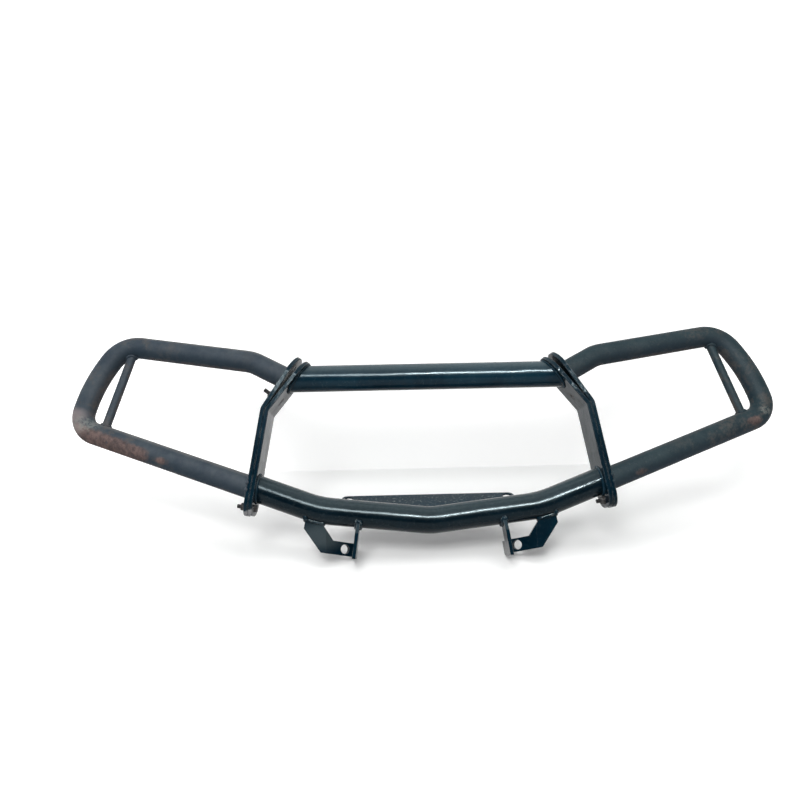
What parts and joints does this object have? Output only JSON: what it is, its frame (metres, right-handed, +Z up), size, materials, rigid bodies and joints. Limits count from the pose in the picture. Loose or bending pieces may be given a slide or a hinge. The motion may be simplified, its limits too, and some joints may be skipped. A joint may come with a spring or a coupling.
{
  "type": "atv front bumper",
  "caption": "Welded tubular front bumper for an ATV, with a bowed centre section, flat side plates and a bolted-on tube wing loop at each end.",
  "frame": {"origin": "midway between the two bolt holes in the rear plate, on its top face", "axes": "+X across the bumper, to the right as seen from the front; the front faces -Y; +Z is up, out of the rear plate's top face; the centre section leans back 30 degrees"},
  "size_m": [1.0394, 0.2474, 0.2803],
  "materials": {
    "centre_paint": "gloss black powder coat with orange peel",
    "wing_paint": "faded satin black paint with rust and scuffs",
    "fastener_steel": "dull dark plated steel"
  },
  "bodies": {
    "root": {"upper_tube": "centre_paint", "lower_tube": "centre_paint", "rear_plate": "centre_paint", "inner_plate_left": "centre_paint", "wing_plate_left": "centre_paint", "bracket_strap_left": "centre_paint", "bracket_upright_left": "centre_paint", "wing_tube_left": "wing_paint", "wing_strut_left": "wing_paint", "upper_bolt_left": "fastener_steel", "upper_washer_left": "fastener_steel", "upper_nut_left": "fastener_steel", "lower_bolt_left": "fastener_steel", "lower_washer_left": "fastener_steel", "lower_nut_left": "fastener_steel", "inner_plate_right": "centre_paint", "wing_plate_right": "centre_paint", "bracket_strap_right": "centre_paint", "bracket_upright_right": "centre_paint", "wing_tube_right": "wing_paint", "wing_strut_right": "wing_paint", "upper_bolt_right": "fastener_steel", "upper_washer_right": "fastener_steel", "upper_nut_right": "fastener_steel", "lower_bolt_right": "fastener_steel", "lower_washer_right": "fastener_steel", "lower_nut_right": "fastener_steel"}
  },
  "joints": []
}
